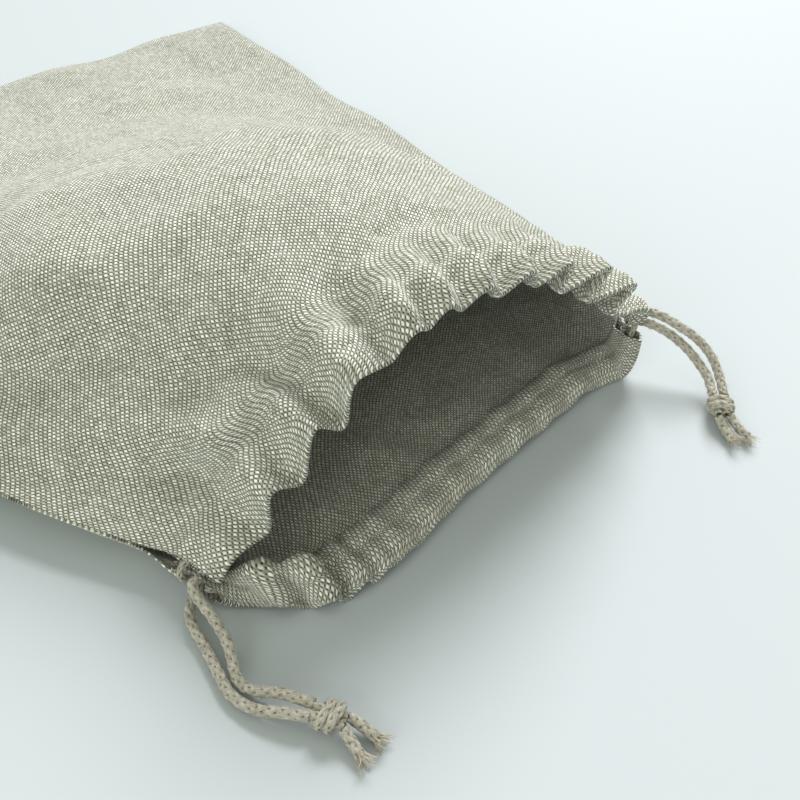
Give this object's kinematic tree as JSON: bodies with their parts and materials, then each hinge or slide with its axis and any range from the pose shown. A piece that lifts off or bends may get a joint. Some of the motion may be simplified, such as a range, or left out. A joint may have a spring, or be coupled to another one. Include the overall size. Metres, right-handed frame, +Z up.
{
  "type": "linen bread bag",
  "caption": "Natural linen drawstring bread bag lying on its side, its upper panel domed as over a loaf, with a gathered casing mouth and knotted cord tails at each side.",
  "frame": {"origin": "on the surface that the bag lies on, under the middle of its length", "axes": "+Y from the mouth to the closed end, the longest side; +Z up, the shortest side; +X from the near side seam to the far one, across the mouth"},
  "size_m": [0.2941, 0.446, 0.0844],
  "materials": {
    "linen": "undyed plain-woven linen, matt",
    "cord": "undyed knitted linen cord, matt"
  },
  "bodies": {
    "root": {"upper_panel": "linen", "lower_panel": "linen", "near_drawstring": "cord", "far_drawstring": "cord", "near_strand_upper": "cord", "near_strand_lower": "cord", "far_strand_upper": "cord", "far_strand_lower": "cord", "near_knot": "cord", "far_knot": "cord", "near_end_left": "cord", "near_end_right": "cord", "far_end_left": "cord", "far_end_right": "cord"}
  },
  "joints": []
}
